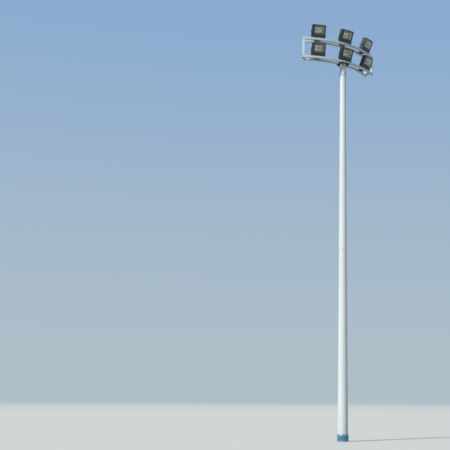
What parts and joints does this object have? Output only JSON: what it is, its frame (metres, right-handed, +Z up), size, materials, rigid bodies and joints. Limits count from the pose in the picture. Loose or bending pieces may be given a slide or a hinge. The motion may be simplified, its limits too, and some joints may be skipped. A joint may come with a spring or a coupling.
{
  "type": "high mast floodlight tower",
  "caption": "Tapered round lighting mast with a curved two-level head frame that carries tilting square floodlights in two rows.",
  "frame": {"origin": "centre of the base ring's underside, at ground level", "axes": "+Z up the mast, -Y to the front, where the head frame bulges and the middle floodlights face, +X along the head frame's chord"},
  "size_m": [3.6018, 1.0119, 16.6377],
  "materials": {
    "mast_white": "satin",
    "boot_blue": "satin",
    "sleeve_grey": "matte",
    "saddle_dark": "matte",
    "frame_paint": "satin",
    "galvanised_steel": "dull",
    "lamp_black": "satin",
    "clear_glass": "clear",
    "reflector_aluminium": "satin",
    "black_plastic": "matte"
  },
  "bodies": {
    "mast": {"base_ring": "galvanised_steel", "mast_lower": "mast_white", "mast_upper": "mast_white", "service_door": "mast_white", "base_boot": "boot_blue", "head_sleeve": "sleeve_grey", "saddle_plate": "saddle_dark", "saddle_gussets": "saddle_dark", "lower_front_beam": "frame_paint", "lower_rear_beam": "frame_paint", "upper_front_beam": "frame_paint", "upper_rear_beam": "frame_paint", "lower_seat_plates": "saddle_dark", "upper_seat_plates": "saddle_dark", "foot_plates": "saddle_dark", "end_posts": "frame_paint", "centre_post": "frame_paint", "end_plugs": "black_plastic", "lower_left_stirrup": "lamp_black", "lower_middle_stirrup": "lamp_black", "lower_right_stirrup": "lamp_black", "upper_left_stirrup": "lamp_black", "upper_middle_stirrup": "lamp_black", "upper_right_stirrup": "lamp_black"},
    "lower_left_floodlight": {"lower_left_housing": "lamp_black", "lower_left_bezel": "lamp_black", "lower_left_glass": "clear_glass", "lower_left_reflector": "reflector_aluminium"},
    "lower_middle_floodlight": {"lower_middle_housing": "lamp_black", "lower_middle_bezel": "lamp_black", "lower_middle_glass": "clear_glass", "lower_middle_reflector": "reflector_aluminium"},
    "lower_right_floodlight": {"lower_right_housing": "lamp_black", "lower_right_bezel": "lamp_black", "lower_right_glass": "clear_glass", "lower_right_reflector": "reflector_aluminium"},
    "upper_left_floodlight": {"upper_left_housing": "lamp_black", "upper_left_bezel": "lamp_black", "upper_left_glass": "clear_glass", "upper_left_reflector": "reflector_aluminium"},
    "upper_middle_floodlight": {"upper_middle_housing": "lamp_black", "upper_middle_bezel": "lamp_black", "upper_middle_glass": "clear_glass", "upper_middle_reflector": "reflector_aluminium"},
    "upper_right_floodlight": {"upper_right_housing": "lamp_black", "upper_right_bezel": "lamp_black", "upper_right_glass": "clear_glass", "upper_right_reflector": "reflector_aluminium"}
  },
  "joints": [
    {"name": "lower_left_tilt", "type": "hinge", "parent": "mast", "child": "lower_left_floodlight", "pos_m": [-1.20564, 0.06752, 15.60722], "axis": [0.937, -0.3495, 0], "range_deg": [-25, 50]},
    {"name": "lower_middle_tilt", "type": "hinge", "parent": "mast", "child": "lower_middle_floodlight", "pos_m": [0, -0.15, 15.60722], "axis": [1, 0, 0], "range_deg": [-25, 50]},
    {"name": "lower_right_tilt", "type": "hinge", "parent": "mast", "child": "lower_right_floodlight", "pos_m": [1.20564, 0.06752, 15.60722], "axis": [0.937, 0.3495, 0], "range_deg": [-25, 50]},
    {"name": "upper_left_tilt", "type": "hinge", "parent": "mast", "child": "upper_left_floodlight", "pos_m": [-1.20564, 0.06752, 16.39722], "axis": [0.937, -0.3495, 0], "range_deg": [-25, 50]},
    {"name": "upper_middle_tilt", "type": "hinge", "parent": "mast", "child": "upper_middle_floodlight", "pos_m": [0, -0.15, 16.39722], "axis": [1, 0, 0], "range_deg": [-25, 50]},
    {"name": "upper_right_tilt", "type": "hinge", "parent": "mast", "child": "upper_right_floodlight", "pos_m": [1.20564, 0.06752, 16.39722], "axis": [0.937, 0.3495, 0], "range_deg": [-25, 50]}
  ]
}
